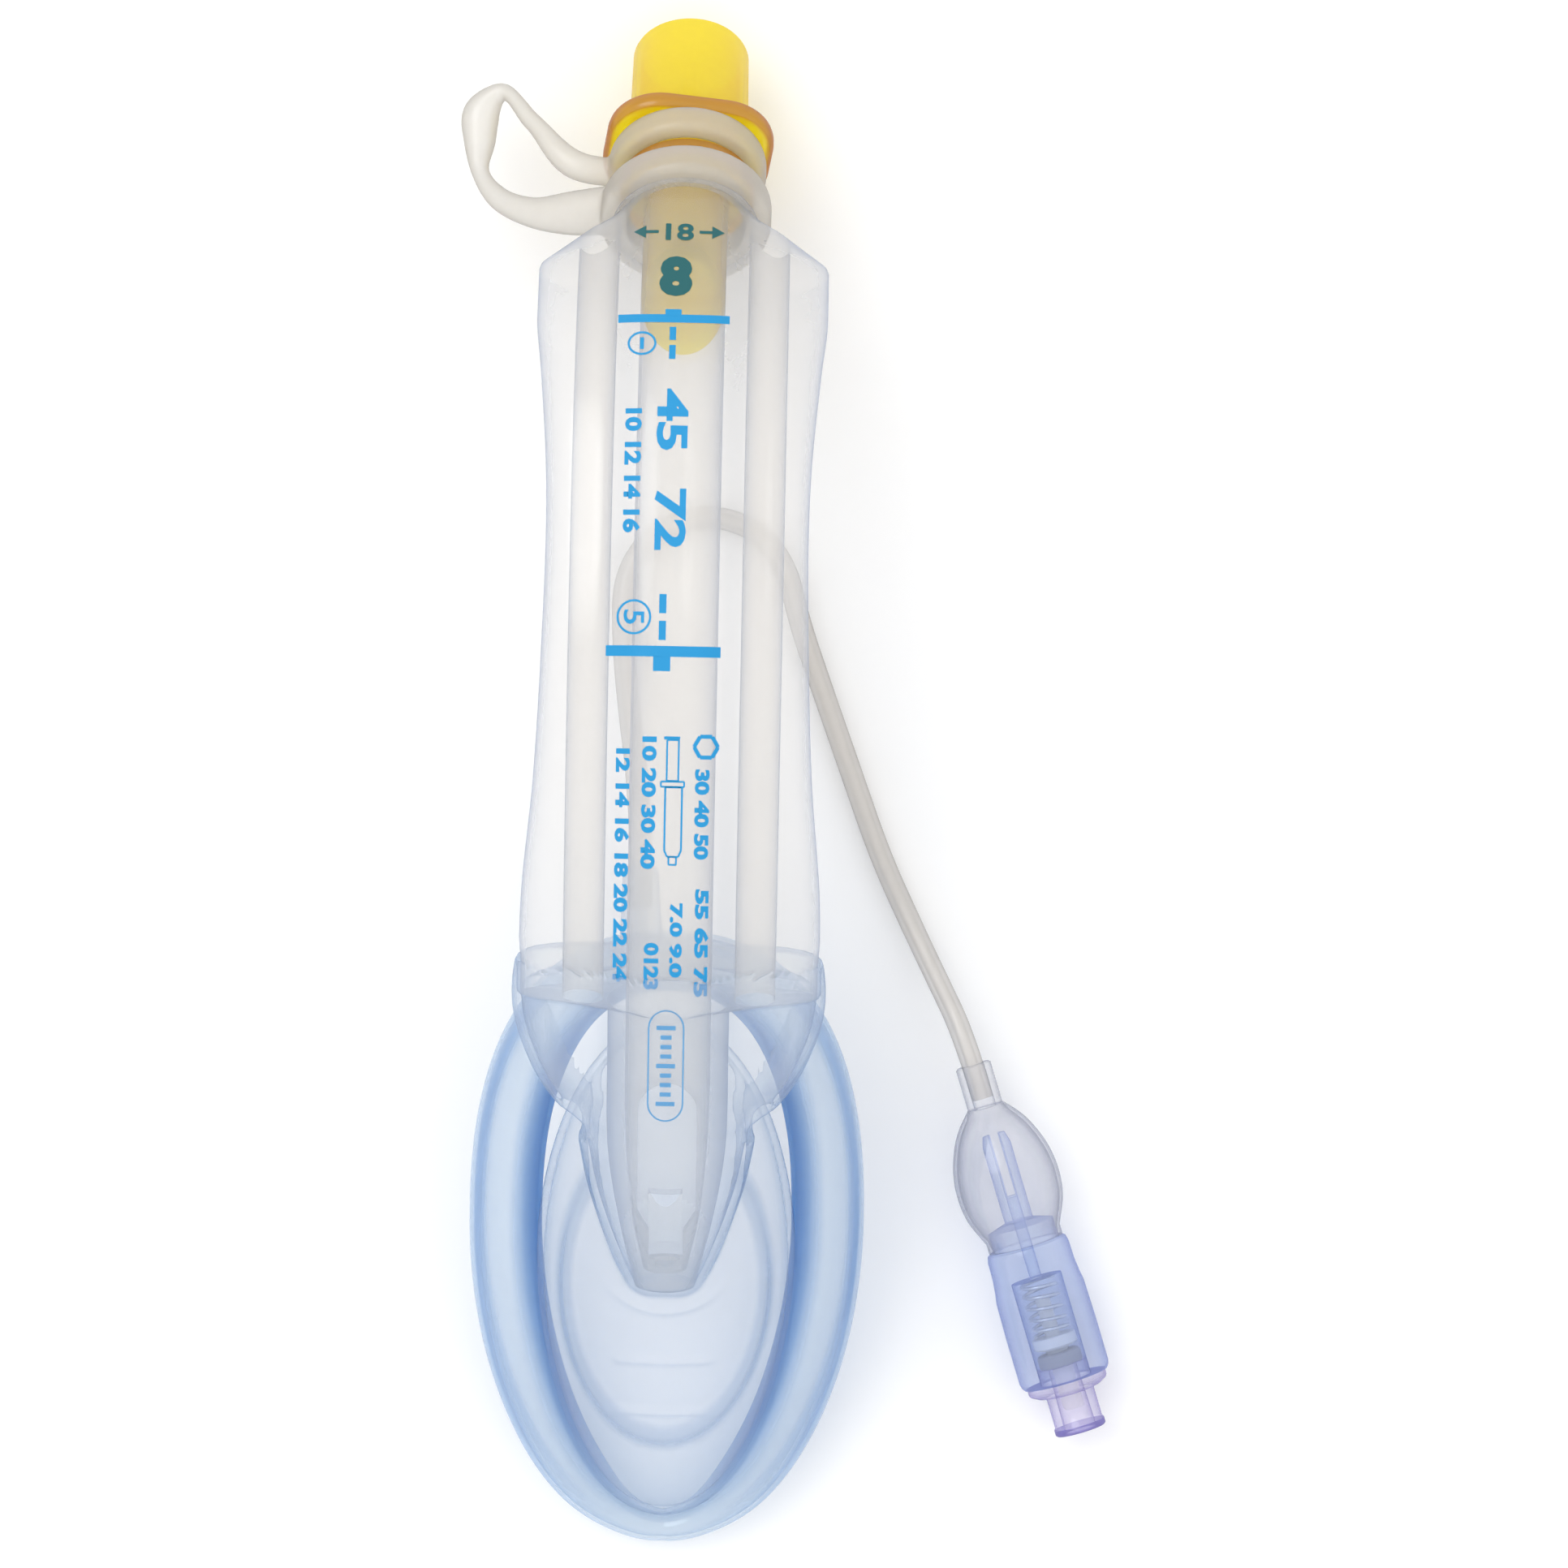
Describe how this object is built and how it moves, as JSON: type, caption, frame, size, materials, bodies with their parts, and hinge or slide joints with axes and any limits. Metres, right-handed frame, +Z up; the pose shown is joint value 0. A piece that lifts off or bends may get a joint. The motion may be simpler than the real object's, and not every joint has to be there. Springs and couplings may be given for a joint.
{
  "type": "laryngeal mask airway",
  "caption": "Curved laryngeal mask airway with hollow cuff, bowl, winged tube with gastric channels, tethered connector, inflation line, pilot balloon and check valve.",
  "frame": {"origin": "on the table, under the middle of the mask and tube as they lie, without the inflation line and what is on it", "axes": "+Y from the mask's tip to the connector, +X across the tube, +Z up from the table, to the outer curve"},
  "size_m": [0.0874, 0.1991, 0.053],
  "materials": {
    "tube_pvc": "clear flexible PVC, softly frosted",
    "mask_pvc": "clear flexible PVC with a faint blue tint",
    "cuff_pvc": "thin blue-tinted PVC film",
    "connector_yellow": "translucent yellow, moulded",
    "tether_rubber": "milky translucent elastomer",
    "port_pvc": "clear PVC",
    "line_pvc": "clear PVC tubing",
    "balloon_pvc": "clear PVC film",
    "valve_clear": "clear plastic with a lavender tint",
    "luer_clear": "clear plastic with a lavender tint",
    "plunger_plastic": "pale grey plastic",
    "seal_rubber": "dark grey rubber",
    "spring_steel": "drawn steel wire"
  },
  "bodies": {
    "root": {"airway_body": "tube_pvc", "mask_shell": "mask_pvc", "cuff": "cuff_pvc", "connector_tether": "tether_rubber", "inflation_port": "port_pvc", "inflation_line": "line_pvc", "pilot_balloon": "balloon_pvc", "valve_housing": "valve_clear", "valve_luer": "luer_clear", "valve_spring": "spring_steel"},
    "connector": {"connector": "connector_yellow"},
    "plunger": {"valve_plunger": "plunger_plastic", "valve_seal": "seal_rubber"}
  },
  "joints": [
    {"name": "connector_pull", "type": "slide", "parent": "root", "child": "connector", "axis": [0, 0.766, -0.6428], "range_m": [0, 0.022], "deforming": ["connector_tether"]},
    {"name": "plunger_slide", "type": "slide", "parent": "root", "child": "plunger", "axis": [-0.3039, 0.9522, 0.0323], "range_m": [0, 0.0018], "stiffness_N_per_m": 100, "springref_m": -0.003, "deforming": ["valve_spring"]}
  ]
}
